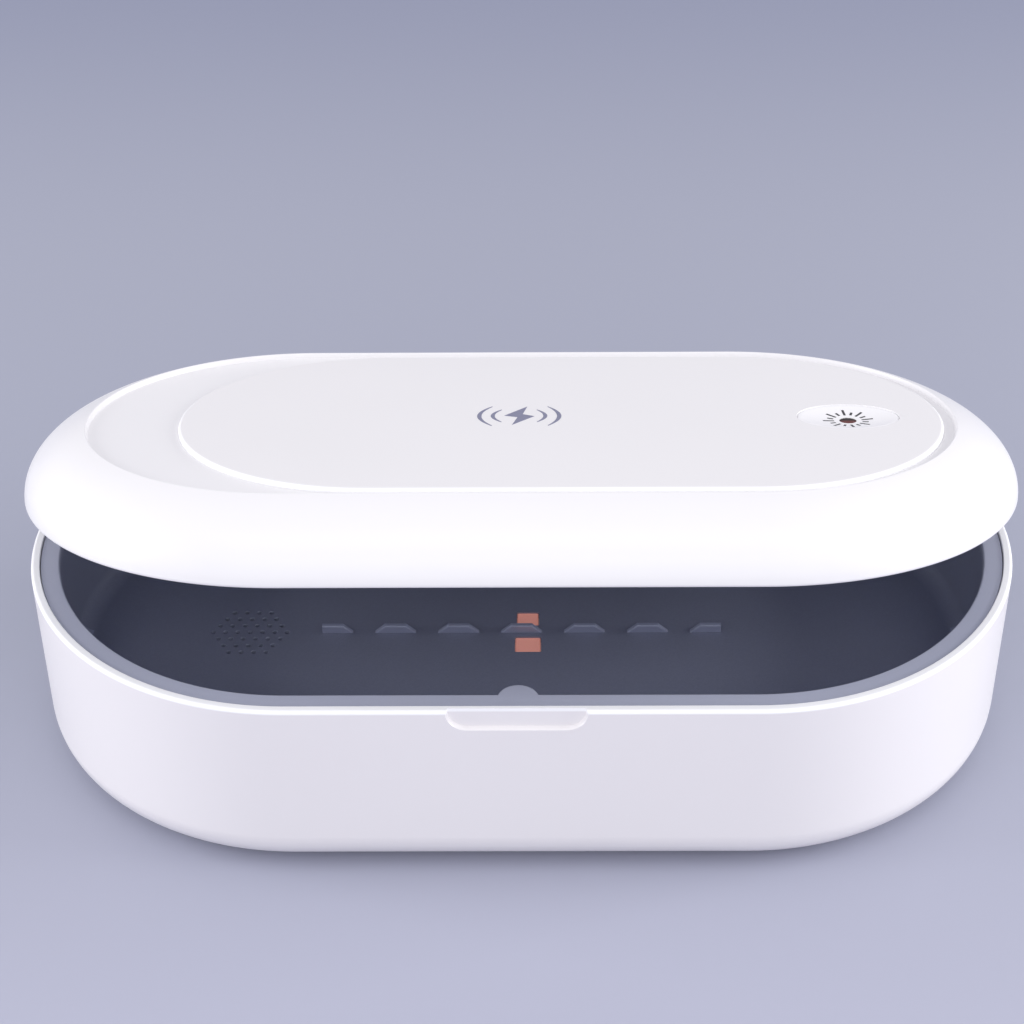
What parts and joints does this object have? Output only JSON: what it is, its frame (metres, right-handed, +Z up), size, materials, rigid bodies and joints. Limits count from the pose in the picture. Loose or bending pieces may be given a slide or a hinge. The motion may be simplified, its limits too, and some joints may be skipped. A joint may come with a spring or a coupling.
{
  "type": "uv sanitizer box for phones",
  "caption": "Oval hinged-lid ultraviolet steriliser box for phones, with a wireless charging pad and dished power key in its lid and a toothed rest in its tray.",
  "frame": {"origin": "on the surface that the box stands on, under the middle of its oval", "axes": "+X along the box towards the power key, -Y towards the front with the thumb scoop, +Y towards the hinge, +Z up; rest pose is the lid ajar by 13.5 degrees"},
  "size_m": [0.22, 0.1239, 0.0861],
  "materials": {
    "shell_white": "glossy injection-moulded ABS, white",
    "pad_white": "satin white acrylic cover",
    "key_white": "satin white key",
    "key_window": "smoked red light window",
    "tray_grey": "slate-grey metallic lacquer, glossy",
    "lamp_pink": "copper-pink lamp package",
    "board_green": "green solder mask",
    "board_white": "white solder mask on an aluminium core",
    "chip_black": "black moulded package",
    "can_metal": "bare can",
    "steel": "zinc-plated steel",
    "bush_plastic": "natural acetal",
    "copper": "enamelled copper wire",
    "ferrite": "sintered ferrite",
    "magnet": "nickel plated",
    "rubber_grey": "grey silicone rubber",
    "cup_plastic": "natural polypropylene",
    "felt": "wool felt",
    "wire_insulation": "black silicone insulation"
  },
  "bodies": {
    "base": {"base_shell": "shell_white", "inner_tray": "tray_grey", "base_led_board": "board_white", "base_uv_lamps": "lamp_pink", "scent_cup": "cup_plastic", "scent_pad": "felt", "main_board": "board_green", "board_chips": "chip_black", "board_inductor": "chip_black", "board_capacitor": "can_metal", "usb_socket": "steel", "sensor_board": "board_green", "lid_sensor": "chip_black", "rubber_feet": "rubber_grey", "base_screws": "steel", "hinge_pins": "steel", "base_wires": "wire_insulation"},
    "lid": {"hinge_bushes": "bush_plastic", "lid_shell": "shell_white", "charging_pad": "pad_white", "control_board": "board_green", "tact_switch": "chip_black", "indicator_lamp": "lamp_pink", "lid_liner": "tray_grey", "lid_lamp_strip": "board_white", "lid_uv_lamps": "lamp_pink", "lid_screws": "steel", "lid_magnet": "magnet", "charging_coil": "copper", "ferrite_sheet": "ferrite", "charge_board": "board_green", "charge_chips": "chip_black", "lid_wires": "wire_insulation"},
    "key": {"power_key": "key_white", "key_window": "key_window", "switch_plunger": "key_white"}
  },
  "joints": [
    {"name": "lid_hinge", "type": "hinge", "parent": "base", "child": "lid", "pos_m": [0, 0.0602, 0.0462], "axis": [-1, 0, 0], "range_deg": [-13.5, 70]},
    {"name": "key_press", "type": "slide", "parent": "lid", "child": "key", "axis": [0, -0.2334, -0.9724], "range_m": [0, 0.0004], "stiffness_N_per_m": 4000}
  ]
}
